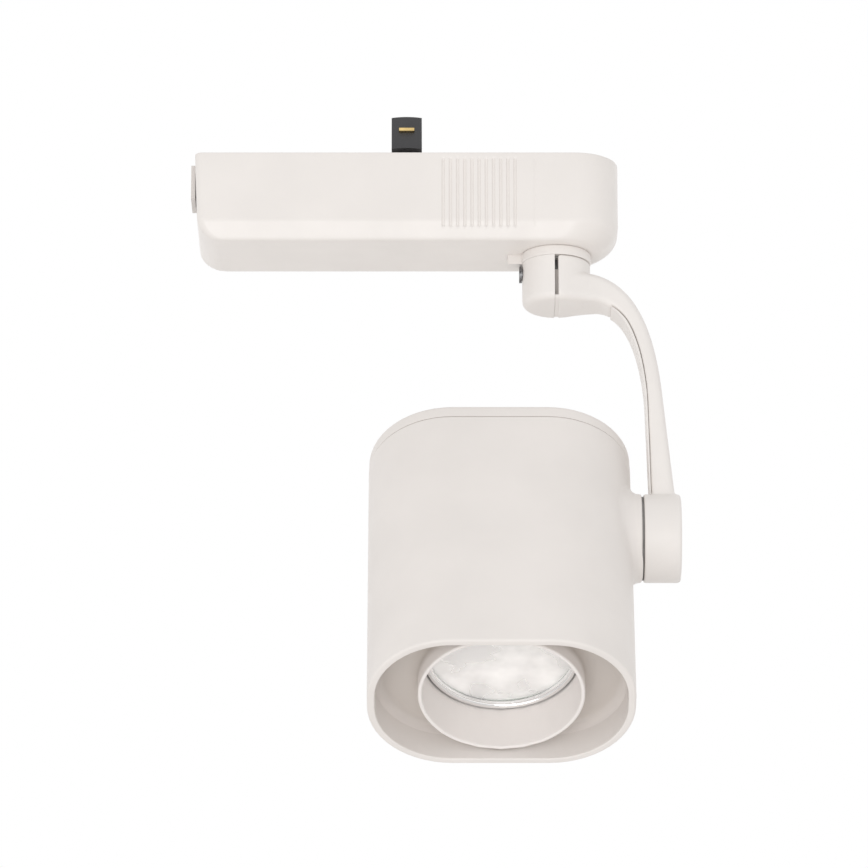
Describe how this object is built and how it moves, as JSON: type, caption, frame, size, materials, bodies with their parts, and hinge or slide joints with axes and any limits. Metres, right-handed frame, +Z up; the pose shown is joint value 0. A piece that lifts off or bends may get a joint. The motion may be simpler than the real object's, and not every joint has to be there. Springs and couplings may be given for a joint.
{
  "type": "track spotlight",
  "caption": "Track spotlight: gear box with twist-in track adapter, swivelling curved arm and a tilting rounded-rectangular lamp head with glare tube.",
  "frame": {"origin": "on the swivel axis, in the lid face that seats against the track's underside", "axes": "+Z up towards the track, +X along the track towards the box's rounded nose, head leans towards -Y at rest"},
  "size_m": [0.1611, 0.0975, 0.2202],
  "materials": {
    "box_plastic": "satin moulded white plastic",
    "latch_plastic": "satin light grey plastic",
    "black_plastic": "matt heat-resistant plastic",
    "head_paint": "fine-textured white powder coat",
    "arm_paint": "fine-textured white powder coat",
    "bezel_plastic": "satin white",
    "chrome": "bright plated",
    "lamp_glass": "clear, lightly hazed",
    "lamp_mirror": "faceted dichroic coating",
    "quartz": "clear quartz",
    "ceramic": "unglazed",
    "steel": "zinc plated",
    "dark_steel": "blackened",
    "brass": "turned",
    "fibre": "matt",
    "circuit_board": "solder mask",
    "ferrite": "matt dark grey",
    "copper_wire": "enamelled copper",
    "capacitor_sleeve": "shrink sleeve",
    "transistor_case": "moulded epoxy",
    "mains_wire": "silicone insulation",
    "lamp_wire": "silicone insulation"
  },
  "bodies": {
    "gear_box": {"gear_box_shell": "box_plastic", "gear_box_lid": "box_plastic", "lid_screws": "steel", "driver_board": "circuit_board", "board_screws": "steel", "transformer_core": "ferrite", "transformer_winding": "copper_wire", "driver_capacitors": "capacitor_sleeve", "driver_transistors": "transistor_case", "terminal_block": "black_plastic", "mains_leads": "mains_wire", "adapter_neck": "black_plastic", "adapter_screws": "steel", "live_contact": "brass", "neutral_contact": "brass", "earth_contact": "brass", "swivel_collar": "box_plastic", "swivel_stem": "dark_steel", "stem_washer": "steel", "stem_nut": "steel", "stem_leads": "lamp_wire"},
    "latch": {"release_latch": "latch_plastic", "latch_spring": "steel"},
    "arm": {"arm": "arm_paint", "arm_cover": "arm_paint", "swivel_cover": "arm_paint", "cover_screws": "steel", "lock_screw": "dark_steel", "swivel_spring_washer": "steel", "swivel_stop_pin": "steel", "arm_leads": "lamp_wire", "pivot_spring_washer": "steel", "pivot_cap": "arm_paint"},
    "head": {"head_shell": "head_paint", "back_cover": "head_paint", "back_cover_screws": "steel", "pivot_stem": "brass", "pivot_washer": "steel", "pivot_nut": "steel", "friction_washer": "fibre", "tilt_stop_pin": "steel", "lamp_bezel": "bezel_plastic", "bezel_screws": "bezel_plastic", "lamp_ring": "chrome", "lamp_glass": "lamp_glass", "lamp_reflector": "lamp_mirror", "lamp_capsule": "quartz", "lamp_base": "ceramic", "lamp_pins": "steel", "lamp_socket": "ceramic", "socket_bracket": "steel", "socket_screws": "steel", "head_leads": "lamp_wire"}
  },
  "joints": [
    {"name": "latch_slide", "type": "slide", "parent": "gear_box", "child": "latch", "axis": [0, 0, -1], "range_m": [0, 0.004], "stiffness_N_per_m": 300, "springref_m": -0.002, "deforming": ["latch_spring"]},
    {"name": "swivel_turn", "type": "hinge", "parent": "gear_box", "child": "arm", "pos_m": [0, 0, 0], "axis": [0, 0, 1], "range_deg": [-170, 170]},
    {"name": "head_tilt", "type": "hinge", "parent": "arm", "child": "head", "pos_m": [0, 0, -0.1282], "axis": [1, 0, 0], "range_deg": [-65, 115]}
  ]
}
